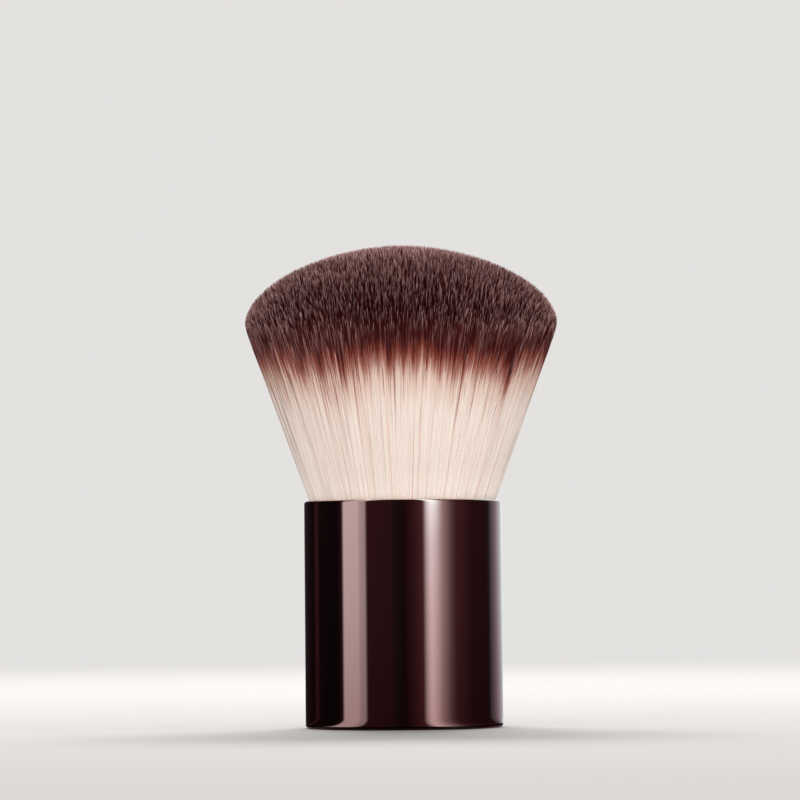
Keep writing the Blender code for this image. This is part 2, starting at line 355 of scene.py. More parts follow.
# The dye mostly starts to fade this far short of its full length, and is gone this far beyond it
FADE_BEFORE_MM = 2.6
FADE_AFTER_MM = 3.0
# Filaments come to a point over this length, and begin at most this far inside the mouth
POINT_LENGTH = 0.0013
INSIDE_MOUTH = 0.005


def dye_place(depth_mm):
    """Where a depth below the level of the shoulder, along a filament, falls on the dye map, 0 to 1."""
    return (depth_mm + MAP_START_MM) / MAP_MM


def filament_mesh(name, centres, radii, side_way, out_way, depth, tint, phase):
    """Closed three-sided filaments that taper to a point, all in one mesh.

    centres is (count, rings + 1, 3) from root to tip, and radii is (count, rings). The depth in the dye, in
    metres, and the tint are (count, rings + 1).
    """
    count, rings = radii.shape
    sides = 3
    angle = phase[:, None] + np.arange(sides) * math.tau / sides
    ring_way = np.cos(angle)[:, :, None] * side_way[:, None]
    ring_way = ring_way + np.sin(angle)[:, :, None] * out_way[:, None]
    ring = centres[:, :-1, None] + radii[:, :, None, None] * ring_way[:, None]
    per = rings * sides + 1
    verts = np.concatenate([ring.reshape(count, -1, 3), centres[:, -1:]], axis=1).reshape(-1, 3)
    quads, thirds = [], []
    for low in range(0, (rings - 1) * sides, sides):
        high = low + sides
        for s in range(sides):
            n = (s + 1) % sides
            quads.append((low + s, low + n, high + n, high + s))
    last = (rings - 1) * sides
    for s in range(sides):
        thirds.append((last + s, last + (s + 1) % sides, per - 1))
    thirds.append((2, 1, 0))
    starts = np.arange(count)[:, None, None] * per
    quad_loops = (starts + np.array(quads)).reshape(count, -1)
    third_loops = (starts + np.array(thirds)).reshape(count, -1)
    loops = np.concatenate([quad_loops, third_loops], axis=1).ravel()
    totals = np.tile([4] * len(quads) + [3] * len(thirds), count)
    mesh = bpy.data.meshes.new(name)
    mesh.vertices.add(len(verts))
    mesh.vertices.foreach_set("co", verts.astype(np.float32).ravel())
    mesh.loops.add(len(loops))
    mesh.loops.foreach_set("vertex_index", loops.astype(np.int32))
    mesh.polygons.add(len(totals))
    mesh.polygons.foreach_set("loop_start", (np.cumsum(totals) - totals).astype(np.int32))
    mesh.update(calc_edges=True)
    # Across the dye map is the tint at each ring, with a little width, and up it is the place on the dye
    across = (tint[:, :-1, None] + np.array([0.2, 0.5, 0.8])) / TINTS
    across = np.concatenate([across.reshape(count, -1), (tint[:, -1:] + 0.5) / TINTS], axis=1).ravel()
    up = dye_place(np.repeat(depth[:, :-1] / MM, sides, axis=1))
    up = np.concatenate([up, dye_place(depth[:, -1:] / MM)], axis=1).ravel()
    layer = mesh.uv_layers.new(name=DYE_MAP)
    places = np.stack([across[loops], up[loops]], axis=1)
    layer.uv.foreach_set("vector", places.astype(np.float32).ravel())
    return mesh


def dyed_filament(head, fan):
    """Synthetic filament, drawn and tapered, dyed at the tip.

    The fibre gives the eye a soft satin line, and the dye runs out unevenly from filament to filament.
    """
    made, tree, surface = new_material(FILAMENT)
    uv = add(tree, "UVMap", {"uv_map": DYE_MAP}).outputs["UV"]
    parts = add(tree, "SeparateXYZ", Vector=uv).outputs
    tint, along = parts["X"], parts["Y"]
    dye = head.dye_length / MM
    mouth = fan.depth_of_mouth() / MM
    # Millimetres below the shoulder, and the colour there. The last stop, lighter cream at the mouth, is
    # painted light against the shade there
    stops = [(-12.0, head.maroon), (dye - FADE_BEFORE_MM, head.maroon), (dye - 0.8, head.rust),
             (dye + 1.3, head.pale_rust), (dye + FADE_AFTER_MM, head.blush), (dye + 8.0, head.cream),
             (mouth - 5.5, head.cream), (mouth - 0.2, head.painted_root_light)]
    ramp = add(tree, "ValToRGB", Fac=along)
    fill_ramp(ramp, [(dye_place(depth), value) for depth, value in stops])
    dyed = ramp.outputs["Color"]
    undyed = add(tree, "MapRange", Value=along, From_Min=dye_place(dye), From_Max=dye_place(dye + 2.5))
    undyed = undyed.outputs["Result"]
    # Own tints take up the lower half of the map, and wear goes on from there and greys full dye. That part
    # is
    # also painted light: paler tips where the head is lit
    worn = add(tree, "MapRange", Value=tint, From_Min=0.33, From_Max=1.0)
    full = add(tree, "MapRange", Value=along, From_Min=dye_place(dye + 1.5), From_Max=dye_place(dye - 0.8))
    worn = add(tree, "Math", TIMES, i0=worn.outputs["Result"], i1=full.outputs["Result"])
    dyed_look = add(tree, "Mix", COLOURS, i0=worn.outputs["Value"], i6=dyed, i7=head.worn_tip_and_painted_light)
    # The last few own tints are stained where they are undyed
    stain = add(tree, "MapRange", Value=tint, From_Min=0.40, From_Max=0.5, To_Max=0.9)
    undyed_look = add(tree, "Mix", COLOURS, i0=stain.outputs["Result"], i6=dyed, i7=head.stained)
    look = add(tree, "Mix", COLOURS, i0=undyed, i6=dyed_look.outputs[2], i7=undyed_look.outputs[2])
    # Dyed filament is darker or lighter by its tint, so the painted light in the wear lightens it too, and
    # undyed filament by chance
    column = add(tree, "Math", TIMES, i0=tint, i1=float(TINTS))
    column = add(tree, "Math", {"operation": "FLOOR"}, i0=column.outputs["Value"])
    chance = add(tree, "TexWhiteNoise", {"noise_dimensions": "1D"}, W=column.outputs["Value"])
    dyed_light = add(tree, "MapRange", Value=tint, To_Min=0.8, To_Max=1.25)
    undyed_light = add(tree, "MapRange", Value=chance.outputs["Value"], To_Min=0.96, To_Max=1.02)
    light = add(tree, "Mix", i0=undyed, i2=dyed_light.outputs["Result"], i3=undyed_light.outputs["Result"])
    tinted = add(tree, "HueSaturation", Value=light.outputs[0], Color=look.outputs[2])
    shader = add(tree, "BsdfPrincipled", Base_Color=tinted.outputs["Color"], Roughness=0.42,
                 Specular_IOR_Level=0.35, Specular_Tint=linear("#FFDCD6"))
    tree.links.new(shader.outputs["BSDF"], surface)
    return made


def wander(rng, turn, rise, waves):
    """A smooth drift that neighbours share: waves has how many go round the head, each with its size."""
    drift = np.zeros(np.broadcast(turn, rise).shape)
    for number, size in waves:
        start, climb = rng.uniform(0, math.tau), rng.uniform(-5, 5)
        drift = drift + size * np.sin(number * turn + start + climb * rise)
    return drift


class Filaments(NamedTuple):
    """What each filament has of its own, as arrays of one value each. Lengths are in metres.

    share is how far out on the dome its tip stands, 0 to 1, and turn is its place round the head. Its tip is
    drawn in by shortened, and it begins at start, a distance below its tip. dye_shift counts it as further
    from the shoulder than it is, and dye_run makes its dye fade out over more. Its own tint is 0 to 0.5, and
    wear is how far it goes on from there at its tip. That is partly real, as tips are worn at random, and
    partly painted light: paler tips where the head is lit, at the crown and towards -X and +X.
    """
    share: np.ndarray
    turn: np.ndarray
    shortened: np.ndarray
    width: np.ndarray
    start: np.ndarray
    dye_shift: np.ndarray
    dye_run: np.ndarray
    own_tint: np.ndarray
    wear_and_painted_light: np.ndarray

    def pick(self, chosen):
        """The chosen filaments alone."""
        return Filaments(*(values[chosen] for values in self))


def grow(name, fan, rng, own, knots, drift_size, worn_length):
    """Filaments, each on its own line of the fan, with rings at the knots, 0 to 1 of the way to the tip."""
    foot_r, tip_r, tip_z, full = fan.line(own.share, own.shortened)
    begin = np.minimum(own.start, full + INSIDE_MOUTH)
    along = 1 - begin[:, None] / full[:, None] * (1 - knots[None, :])
    radius = foot_r[:, None] + (tip_r - foot_r)[:, None] * along
    height = fan.mouth + (tip_z - fan.mouth)[:, None] * along
    # Filaments drift sideways, partly with their neighbours and partly alone
    lift = np.clip(along, 0, 1)
    wave = wander(rng, own.turn[:, None], lift, [(9, 0.30), (17, 0.24), (31, 0.16), (53, 0.12), (89, 0.08)])
    chance = rng.normal(0, 1, (len(own.share), 2))
    own_wave = np.sin(chance[:, :1] * 3 + lift * (3 + 2 * chance[:, 1:]))
    drift = wave * 0.6 + 0.55 * chance[:, :1] * lift + 0.25 * own_wave
    drift = drift_size * lift ** 0.7 * drift * own.share[:, None]
    way = np.stack([np.cos(own.turn), np.sin(own.turn), np.zeros_like(own.turn)], axis=1)
    side = np.stack([-np.sin(own.turn), np.cos(own.turn), np.zeros_like(own.turn)], axis=1)
    centres = way[:, None] * radius[:, :, None] + side[:, None] * drift[:, :, None]
    centres[:, :, 2] = height
    slope = np.stack([tip_r - foot_r, tip_z - fan.mouth], axis=1)
    slope /= np.linalg.norm(slope, axis=1, keepdims=True)
    out = way * slope[:, 1:] - np.array([0, 0, 1.0]) * slope[:, :1]
    # They are full over the middle, come to a point at the tip and narrow where the mouth packs them
    below = begin[:, None] * (1 - knots[None, :])
    taper = np.clip(below[:, :-1] / POINT_LENGTH, 0.0, 1) ** 0.5
    near_mouth = 0.6 + 0.4 * np.clip(along[:, :-1] / 0.25, 0, 1)
    radii = own.width[:, None] / 2 * taper * near_mouth
    # Each filament keeps its own tint, and is more worn over the worn length at its tip
    tipness = np.clip(1 - below / worn_length, 0, 1) * rng.uniform(0.5, 1.0, len(own.share))[:, None]
    tint = (TINTS - 1) * np.clip(own.own_tint[:, None] + own.wear_and_painted_light[:, None] * tipness, 0, 1)
    depth = (fan.shoulder - height) / slope[:, 1:] + own.dye_shift[:, None] * ease(lift, 0.1, 0.5)
    # Where dye runs, its fade is stretched by the length of the run
    fade = (FADE_BEFORE_MM + FADE_AFTER_MM) * MM
    fading = np.clip(depth - (fan.dye - FADE_BEFORE_MM * MM), 0, None)
    depth -= fading * (own.dye_run / (own.dye_run + fade))[:, None]
    phase = rng.uniform(0, math.tau, len(own.share))
    return filament_mesh(name, centres, radii, side, out, depth, tint, phase)


def grow_pieces(name, fan, rng, own, order, knots, drift_size, worn_length):
    """The filaments in their order, as three numbered pieces, so that no piece is too large."""
    pieces = []
    for number, chosen in enumerate(np.array_split(order, 3)):
        piece_name = f"{name}_{number + 1}"
        mesh = grow(piece_name, fan, rng, own.pick(chosen), knots, drift_size, worn_length)
        piece = place(piece_name, mesh, bpy.data.materials[FILAMENT])
        ride_root(piece, "bristle", "bristles")
        pieces.append(piece)
    return pieces


def ease(value, low, high):
    """0 below low, 1 above high, and a smooth step between."""
    t = np.clip((value - low) / (high - low), 0, 1)
    return t * t * (3 - 2 * t)


def dye_edge(rng, turn):
    """Each filament's dye shift and dye run, in metres, for an edge of dye that is uneven round the head."""
    across = np.cos(turn)
    waves = wander(rng, turn, 0 * turn, [(7, 0.2), (17, 0.3), (37, 0.5), (71, 0.55), (113, 0.45)])
    # Dye runs on some filaments, and on more of them towards -X
    runs = np.where(rng.random(len(turn)) < 0.07 + 0.18 * ease(-across, 0.2, 0.5),
                    rng.uniform(2.0, 8.5, len(turn)), 0)
    # It reaches further on both sides of the front and the back, but not at -X and +X themselves
    aside = (1.45 + 0.2 * np.clip(across, -0.5, 0.5)) * ease(np.abs(across), 0.1, 0.4)
    aside *= 1 - 0.9 * ease(np.abs(across), 0.55, 0.85)
    # One tongue of dye runs further at the front right
    tongue = 4.2 * np.exp(-((turn - math.radians(320)) / 0.055) ** 2)
    shift = waves + rng.normal(0, 0.8, len(turn)) - aside - tongue
    return MM * np.clip(shift, -8.0, 3.5), MM * runs


class BRUSH_OT_side_filaments(bpy.types.Operator):
    """Grow the filaments of the head's flared side, from inside the mouth to the shoulder"""
    bl_idname = "brush.side_filaments"
    bl_label = "Side filaments"

    def execute(self, context):
        head = context.scene.brush_head
        fan = Fan(context.scene.brush_handle, head)
        rng = np.random.default_rng(11)
        count = head.side_count
        turn = rng.permutation(math.tau * (np.arange(count) + rng.uniform(-0.4, 0.4, count)) / count)
        aside = np.abs(np.cos(turn))
        # Three in ten lie in layers on the outside, the lower tips further out, so that the dyed side is all
        # tips. The rest fill the head behind them
        outer = rng.random(count) < 0.30
        low = rng.random(count) ** 1.1
        shortened = np.where(outer, (0.0056 + 0.0034 * aside) * low, 0.0025 * rng.random(count))
        share = np.where(outer, 1 - 0.014 * (1 - low) - np.abs(rng.normal(0, 0.0008, count)),
                         0.985 - 0.085 * rng.random(count) ** 1.3)
        width = head.filament * rng.uniform(0.75, 1.15, count) * np.where(outer, 1.35, 1.0)
        dye_shift, dye_run = dye_edge(rng, turn)
        # Some tips are worn pale at random and stand out from dark ones between them. More of them, and
        # paler, towards -X and +X: painted light on the flanks of the head
        wear_and_painted_light = np.where(rng.random(count) < 0.16 + 0.29 * aside, rng.uniform(0.7, 1.3, count),
                        rng.uniform(0.0, 0.15, count))
        wear_and_painted_light *= 0.55 + 0.5 * aside
        own_tint = 0.5 * rng.random(count) ** (2.2 - 1.3 * ease(-np.cos(turn), 0.1, 0.6))
        # A start of a metre is cut short inside the mouth, so they all show their whole length
        start = np.full(count, 1.0)
        own = Filaments(share, turn, shortened, width, start, dye_shift, dye_run, own_tint, wear_and_painted_light)
        knots = np.array([0, 0.04, 0.3, 0.52, 0.72, 0.86, 0.95, 0.985, 1.0])
        # Real filaments let light through, so these leave their shadow out
        for piece in grow_pieces("side_filaments", fan, rng, own, np.arange(count), knots, 0.0004, 0.0032):
            piece.visible_shadow = False
        return {"FINISHED"}


class BRUSH_OT_dome_filaments(bpy.types.Operator):
    """Grow the filaments whose tips make the dome"""
    bl_idname = "brush.dome_filaments"
    bl_label = "Dome filaments"

    def execute(self, context):
        head = context.scene.brush_head
        fan = Fan(context.scene.brush_handle, head)
        rng = np.random.default_rng(23)
        count = head.dome_count
        outermost = 0.985
        share = fan.even_shares(count, outermost)
        # By the golden angle, each filament stands in a gap between the ones before it
        turn = np.arange(count) * math.pi * (3 - math.sqrt(5)) + rng.normal(0, 0.004, count)
        share = np.clip(share + rng.normal(0, 0.004, count), 0.002, outermost)
        shortened = np.where(rng.random(count) < 0.7, np.abs(rng.normal(0, 0.0001, count)) - 0.00015,
                             0.0017 * rng.random(count))
        width = head.filament * rng.uniform(0.8, 1.3, count)
        dye_shift = np.clip(rng.normal(0, 0.0008, count), -0.003, 0.003)
        start = 0.006 + 0.003 * share
        # The crown's tips are the palest and the front and back of the shoulder's the darkest, with paler
        # tips towards -X and +X: painted light from above and from the sides, over wear that differs at
        # random
        wear_and_painted_light = np.interp(share, [0, 0.4, 0.5, 0.62, 0.7, 0.85, 1], [1.45, 1.15, 0.85, 0.9, 0.83, 0.85, 0.75])
        less = ease(share, 0.6, 0.9) * (0.38 - 0.65 * np.abs(np.cos(turn)))
        wear_and_painted_light *= rng.uniform(0.4, 1.1, count) * (1 - less)
        wear_and_painted_light *= 1 - 0.3 * ease(share, 0.93, outermost)
        own_tint = 0.5 * rng.random(count) ** 1.6
        own = Filaments(share, turn, shortened, width, start, dye_shift, np.zeros(count), own_tint, wear_and_painted_light)
        knots = np.array([0, 0.45, 0.8, 0.94, 1.0])
        grow_pieces("dome_filaments", fan, rng, own, rng.permutation(count), knots, 0.0005, 0.0016)
        return {"FINISHED"}


class BRUSH_OT_filament_core(bpy.types.Operator):
    """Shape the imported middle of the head, which shows only between filaments"""
    bl_idname = "brush.filament_core"
    bl_label = "Packed core of filaments"

    def root(self):
        """Radius, top and base of the root, from the thread round it and the node that it stands for."""
        thread_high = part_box("knot_tie")[1]
        # It is 1 mm inside the outside of the thread, and reaches 0.6 mm above it
        return thread_high.x - 0.0010, thread_high.z + 0.0006, HEAD_LOW.z

    def execute(self, context):
        head = context.scene.brush_head
        fan = Fan(context.scene.brush_handle, head)
        # The top of the core lies 1.8 mm below the tips, and its side a little inside them
        _, tip_r, tip_z, _ = fan.line(np.linspace(0, 1, 40), 0.0018)
        profile = [(0.0 if i == 0 else r * 0.975, z) for i, (r, z) in enumerate(zip(tip_r, tip_z))]
        edge_r, edge_z = profile[-1]
        inside = head.mouth_radius - 0.0005
        for step in np.linspace(0.08, 1.03, 26):
            profile.append((edge_r + (inside - edge_r) * step, edge_z + (fan.mouth - edge_z) * step))
        # Below the mouth the bundle narrows to its root, inside the thread and the cup
        root_r, root_top, root_base = self.root()
        profile += [(inside * 0.97, fan.mouth - 0.0025), (root_r + 0.0012, root_top + 0.004),
                    (root_r, root_top), (root_r, root_base), (0, root_base)]
        mesh = turned_mesh("filament_core", profile, 192)
        # Each face takes one of the first 16 tints, with a little width on the map, and the dye of the
        # filaments in front of it, which are about 1.06 times as long as they are high
        layer = mesh.uv_layers.new(name=DYE_MAP)
        uv = np.zeros((len(mesh.loops), 2), np.float32)
        for poly in mesh.polygons:
            spread = np.linspace(0.2, 0.8, poly.loop_total)
            column = poly.index % 16
            for k, loop in enumerate(poly.loop_indices):
                z = mesh.vertices[mesh.loops[loop].vertex_index].co.z
                below = (fan.shoulder - z) / MM * 1.06
                uv[loop] = ((column + spread[k]) / TINTS, dye_place(below) + 0.0005 * k)
        layer.uv.foreach_set("vector", uv.ravel())
        piece = place("filament_core", mesh, bpy.data.materials[FILAMENT])
        ride_root(piece, "bristle", "bristles")
        return {"FINISHED"}


def inner_finishes():
    """The finishes of the parts inside the handle, by node name."""
    return {
        "base_weight": turned_steel(),
        "core_insert": moulded_abs(),
        "ferrule_cup": drawn_aluminium(),
        "epoxy_plug": set_epoxy(),
        "knot_tie": waxed_thread(),
    }


def turned_steel():
    """Mild steel, turned on a lathe: fine rings, about 0.15 mm apart, that break up its shine."""
    made, tree, surface = new_material("Mild steel, turned")
    where = add(tree, "TexCoord").outputs["Object"]
    rings = add(tree, "TexWave", {"wave_type": "RINGS", "rings_direction": "Z"}, Vector=where, Scale=1050,
                Distortion=0.4, Detail=1)
    bump = add(tree, "Bump", Height=rings.outputs["Fac"], Strength=0.3, Distance=0.00002)
    shade = add(tree, "Mix", COLOURS, i0=rings.outputs["Fac"], i6=linear("#8F9194"), i7=linear("#B4B5B7"))
    shader = add(tree, "BsdfPrincipled", Base_Color=shade.outputs[2], Metallic=1.0, Roughness=0.35,
                 Normal=bump.outputs["Normal"])
    tree.links.new(shader.outputs["BSDF"], surface)
    return made


def moulded_abs():
    """ABS, injection moulded: black, with a fine spark-eroded grain of about 0.1 mm."""
    made, tree, surface = new_material("ABS, moulded, black")
    where = add(tree, "TexCoord").outputs["Object"]
    grain = add(tree, "TexNoise", Vector=where, Scale=9000, Detail=2)
    bump = add(tree, "Bump", Height=grain.outputs["Fac"], Strength=0.25, Distance=0.00001)
    rough = add(tree, "MapRange", Value=grain.outputs["Fac"], To_Min=0.45, To_Max=0.65)
    shader = add(tree, "BsdfPrincipled", Base_Color=linear("#1E1D1D"), Roughness=rough.outputs["Result"],
                 IOR=1.53, Normal=bump.outputs["Normal"])
    tree.links.new(shader.outputs["BSDF"], surface)
    return made


def drawn_aluminium():
    """Aluminium, deep drawn: bright, with faint upright draw lines about 0.2 mm apart."""
    made, tree, surface = new_material("Aluminium, drawn")
    where = add(tree, "TexCoord").outputs["Object"]
    stretch = add(tree, "Mapping", Vector=where, Scale=(5000, 5000, 300))
    lines = add(tree, "TexNoise", Vector=stretch.outputs["Vector"], Scale=1, Detail=2)
    rough = add(tree, "MapRange", Value=lines.outputs["Fac"], To_Min=0.22, To_Max=0.38)
    bump = add(tree, "Bump", Height=lines.outputs["Fac"], Strength=0.15, Distance=0.00001)
    shader = add(tree, "BsdfPrincipled", Base_Color=linear("#C9CACC"), Metallic=1.0,
                 Roughness=rough.outputs["Result"], Normal=bump.outputs["Normal"])
    tree.links.new(shader.outputs["BSDF"], surface)
    return made


def set_epoxy():
    """Epoxy, poured and set: amber and glossy, a little cloudy, with clouds about 2 mm across."""
    made, tree, surface = new_material("Epoxy, poured, amber")
    where = add(tree, "TexCoord").outputs["Object"]
    cloud = add(tree, "TexNoise", Vector=where, Scale=500, Detail=3)
    shade = add(tree, "Mix", COLOURS, i0=cloud.outputs["Fac"], i6=linear("#B98643"), i7=linear("#D9AE6B"))
    shader = add(tree, "BsdfPrincipled", Base_Color=shade.outputs[2], Roughness=0.15, IOR=1.55)
    tree.links.new(shader.outputs["BSDF"], surface)
    return made


def waxed_thread():
    """Polyester thread, twisted and waxed: pale, with a twist about 0.35 mm apart."""
    made, tree, surface = new_material("Polyester thread, twisted and waxed")
    where = add(tree, "TexCoord").outputs["Object"]
    twist = add(tree, "TexWave", {"wave_type": "BANDS", "bands_direction": "DIAGONAL"}, Vector=where,
                Scale=450, Distortion=1.0, Detail=2)
    shade = add(tree, "Mix", COLOURS, i0=twist.outputs["Fac"], i6=linear("#D5CDBC"), i7=linear("#F0EBDF"))
    bump = add(tree, "Bump", Height=twist.outputs["Fac"], Strength=0.5, Distance=0.00005)
    shader = add(tree, "BsdfPrincipled", Base_Color=shade.outputs[2], Roughness=0.6, Sheen_Weight=0.2,
                 Normal=bump.outputs["Normal"])
    tree.links.new(shader.outputs["BSDF"], surface)
    return made


class BRUSH_OT_inner_parts(bpy.types.Operator):
    """Give the parts inside the handle their finishes"""
    bl_idname = "brush.inner_parts"
    bl_label = "Inner parts"

    def execute(self, context):
        for name, finish in inner_finishes().items():
            node = frame["nodes"][name]
            node.data.materials.clear()
            node.data.materials.append(finish)
        return {"FINISHED"}


def sweep_mesh(name, front, back, half_width, top, bend, steps=24):
    """A floor that curves up into a backdrop, as one sheet."""
    profile = [(front, 0.0), (back - bend, 0.0)]
    for step in range(1, steps + 1):
        angle = math.pi / 2 * step / steps
        profile.append((back - bend + bend * math.sin(angle), bend - bend * math.cos(angle)))
    profile.append((back, top))
    verts = [(x, y, z) for y, z in profile for x in (-half_width, half_width)]
    faces = [(2 * i, 2 * i + 1, 2 * i + 3, 2 * i + 2) for i in range(len(profile) - 1)]
    mesh = bpy.data.meshes.new(name)
    mesh.from_pydata(verts, [], faces)
    mesh.update()
    return mesh


PAPER = "#D6D4D2"
BACKDROP_GLOW = "#E4E2E0"


def paper():
    """Backdrop paper, uncoated: pale and even, with a faint tooth.

    It glows plainly where it is far from the brush, so that the view behind stays pale and even.
    """
    made, tree, surface = new_material("Backdrop paper, uncoated")
    where = add(tree, "TexCoord").outputs["Object"]
    # Paper tooth of about 0.4 mm
    tooth = add(tree, "TexNoise", Vector=where, Scale=2500, Detail=2)
    rough = add(tree, "MapRange", Value=tooth.outputs["Fac"], To_Min=0.75, To_Max=0.9)
    sheet = add(tree, "BsdfPrincipled", Base_Color=linear(PAPER), Roughness=rough.outputs["Result"],
                Specular_IOR_Level=0.0)
    away = add(tree, "VectorMath", {"operation": "LENGTH"}, Vector=where).outputs["Value"]
    far = add(tree, "MapRange", {"interpolation_type": "SMOOTHSTEP"}, Value=away, From_Min=0.15,
              From_Max=0.9)
    path = add(tree, "LightPath").outputs
    seen = add(tree, "Math", {"operation": "MAXIMUM"}, i0=path["Is Camera Ray"], i1=path["Is Glossy Ray"])
    seen = add(tree, "Math", {"operation": "MAXIMUM"}, i0=seen.outputs["Value"],
               i1=path["Is Transmission Ray"])
    share = add(tree, "Math", TIMES, i0=seen.outputs["Value"], i1=far.outputs["Result"])
    glow = add(tree, "Emission", Color=linear(BACKDROP_GLOW))
    both = add(tree, "MixShader", Fac=share.outputs["Value"], i1=sheet.outputs["BSDF"],
               i2=glow.outputs["Emission"])
    tree.links.new(both.outputs["Shader"], surface)
    return made


# Turn from the camera's side, in degrees with + to the right, the surround's brightness there and its colour.
# 32 stops are the most that a ramp holds
DARK, DIM, STRIP, RIM = "#FFFFFF", "#FFD2D8", "#C8FFF2", "#B4E9E6"
SURROUND = [
    # Dark cards behind the brush and on the left
    (-180, 0.004, DARK), (-114, 0.003, DARK), (-110, 0.020, DIM), (-107, 0.020, DIM), (-102, 0.005, DARK),
    (-73, 0.005, DARK), (-66.3, 0.022, DIM),
    # The left strip
    (-64, 1.07, STRIP), (-47, 1.07, STRIP), (-45, 0.79, STRIP), (-39.3, 0.66, STRIP),
    # Dark cards between the strips
    (-37.5, 0.030, DIM), (-13, 0.026, DIM), (-8, 0.014, DARK), (-2, 0.010, DARK), (1, 0.012, DIM),
    (5, 0.02, DIM), (14, 0.045, DIM), (20, 0.075, DIM),
    # The right strip, which fades out to the right
    (24.7, 1.1, STRIP), (28.3, 1.5, STRIP), (32, 1.3, STRIP), (40.3, 0.62, "#C8F0E3"),
    (49.5, 0.2, "#C8DDD2"), (56, 0.055, DIM), (77, 0.02, DIM), (100, 0.014, DIM),
    # The pale card behind the brush on the right
    (105.5, 0.021, RIM), (109.5, 0.090, RIM), (118.7, 0.16, RIM), (131, 0.22, RIM), (180, 0.08, "#EADFE4"),
]
# Height in millimetres, and the share of red, green and blue there: on the whole surround, and on the right
# strip, which brightens and whitens towards its top
CLIMB = [(0, (0.53, 0.465, 0.465)), (20.5, (0.71, 0.71, 0.71)), (37, (0.8, 0.8, 0.8)),
         (50, (0.82, 0.82, 0.82))]
STRIP_CLIMB = [(0, (0.53, 0.465, 0.465)), (20.5, (0.71, 0.71, 0.71)), (31, (0.82, 0.9, 0.93)),
               (36.4, (1.02, 1.28, 1.31)), (38, (1.2, 1.7, 1.7)), (44, (1.3, 1.9, 1.9))]
CLIMB_TOP_MM = 50
# Strength of the surround's light, and of the part of its rim that is nearest to the brush
SURROUND_STRENGTH = 15.0
NEAR_RIM_STRENGTH = 0.45
# Where it stands, in metres from the brush's axis, and how high it is and how far off the floor
SURROUND_RADIUS = 0.060
SURROUND_INNER_RADIUS = 0.0158
SURROUND_TOP = 0.2
SURROUND_BASE = 0.0003


def climb_stops(climb):
    """The stops of a ramp over the surround's height."""
    return [(height / CLIMB_TOP_MM, (*levels, 1)) for height, levels in climb]


def surround_light():
    """The surround's own light: strips of lamp and dark cards round the brush."""
    made, tree, surface = new_material("Surround of strip lamps and cards")
    places = add(tree, "TexCoord").outputs["Object"]
    where = add(tree, "SeparateXYZ", Vector=places).outputs
    back = add(tree, "Math", TIMES, i0=where["Y"], i1=-1.0)
    turn = add(tree, "Math", {"operation": "ARCTAN2"}, i0=where["X"], i1=back.outputs["Value"])
    turn = turn.outputs["Value"]
    share = add(tree, "MapRange", Value=turn, From_Min=-math.pi, From_Max=math.pi)
    round_it = add(tree, "ValToRGB", Fac=share.outputs["Result"])
    stops = []
    for degrees, level, tint in SURROUND:
        stops.append(((degrees + 180) / 360, [channel * level for channel in linear(tint)[:3]] + [1]))
    fill_ramp(round_it, stops)
    rise = add(tree, "MapRange", Value=where["Z"], From_Max=CLIMB_TOP_MM * MM)
    up_it = add(tree, "ValToRGB", Fac=rise.outputs["Result"])
    fill_ramp(up_it, climb_stops(CLIMB))
    up_strip = add(tree, "ValToRGB", Fac=rise.outputs["Result"])
    fill_ramp(up_strip, climb_stops(STRIP_CLIMB))
    # The right strip's own climb holds within 5 degrees of its middle, and has gone by 13
    aside = add(tree, "Math", {"operation": "SUBTRACT"}, i0=turn, i1=math.radians(29))
    aside = add(tree, "Math", {"operation": "ABSOLUTE"}, i0=aside.outputs["Value"])
    on_strip = add(tree, "MapRange", Value=aside.outputs["Value"], From_Min=math.radians(13),
                   From_Max=math.radians(5))
    climb = add(tree, "Mix", COLOURS, i0=on_strip.outputs["Result"], i6=up_it.outputs["Color"],
                i7=up_strip.outputs["Color"])
    both = add(tree, "Mix", {**COLOURS, "blend_type": "MULTIPLY"}, i0=1.0, i6=round_it.outputs["Color"],
               i7=climb.outputs[2])
    # The rim is dark near the brush, where the rounded base edge looks
    reach = add(tree, "VectorMath", {"operation": "LENGTH"}, Vector=places).outputs["Value"]
    reach = add(tree, "MapRange", Value=reach, From_Min=0.018, From_Max=0.0215, To_Min=NEAR_RIM_STRENGTH,
                To_Max=SURROUND_STRENGTH)
    # Only the handle shows it: what the handle would throw back onto the filaments is left out
    bounces = add(tree, "LightPath").outputs["Diffuse Depth"]
    first = add(tree, "Math", {"operation": "LESS_THAN"}, i0=bounces, i1=0.5)
    strength = add(tree, "Math", TIMES, i0=reach.outputs["Result"], i1=first.outputs["Value"])
    glow = add(tree, "Emission", Color=both.outputs[2], Strength=strength.outputs["Value"])
    tree.links.new(glow.outputs["Emission"], surface)
    return made


def round_sheet(name, profile, steps=128):
    """A sheet round the brush, from points of its section as (radius, height)."""
    per = len(profile)
    verts, faces = [], []
    for i in range(steps):
        angle = math.tau * i / steps
        verts += [(r * math.cos(angle), r * math.sin(angle), z) for r, z in profile]
        j = (i + 1) % steps
        faces += [(per * i + k, per * i + k + 1, per * j + k + 1, per * j + k) for k in range(per - 1)]
    mesh = bpy.data.meshes.new(name)
    mesh.from_pydata(verts, [], faces)
    mesh.update()
    return mesh


def lamp(name, location, target, size, power):
    """A soft rectangular lamp that points at a target."""
    data = bpy.data.lights.new(name, "AREA")
    data.shape = "RECTANGLE"
    data.size, data.size_y = size
    data.energy = power
    made = bpy.data.objects.new(name, data)
    bpy.context.scene.collection.objects.link(made)
    made.location = location
    made.rotation_mode = "QUATERNION"
    made.rotation_quaternion = (Vector(target) - Vector(location)).to_track_quat("-Z", "Y")
    made.visible_camera = False
    return made


def light_only(source, name, pieces):
    """Makes a lamp or a glowing sheet light these pieces alone."""
    lit = bpy.data.collections.new(name)
    for piece in pieces:
        lit.objects.link(piece)
    source.light_linking.receiver_collection = lit


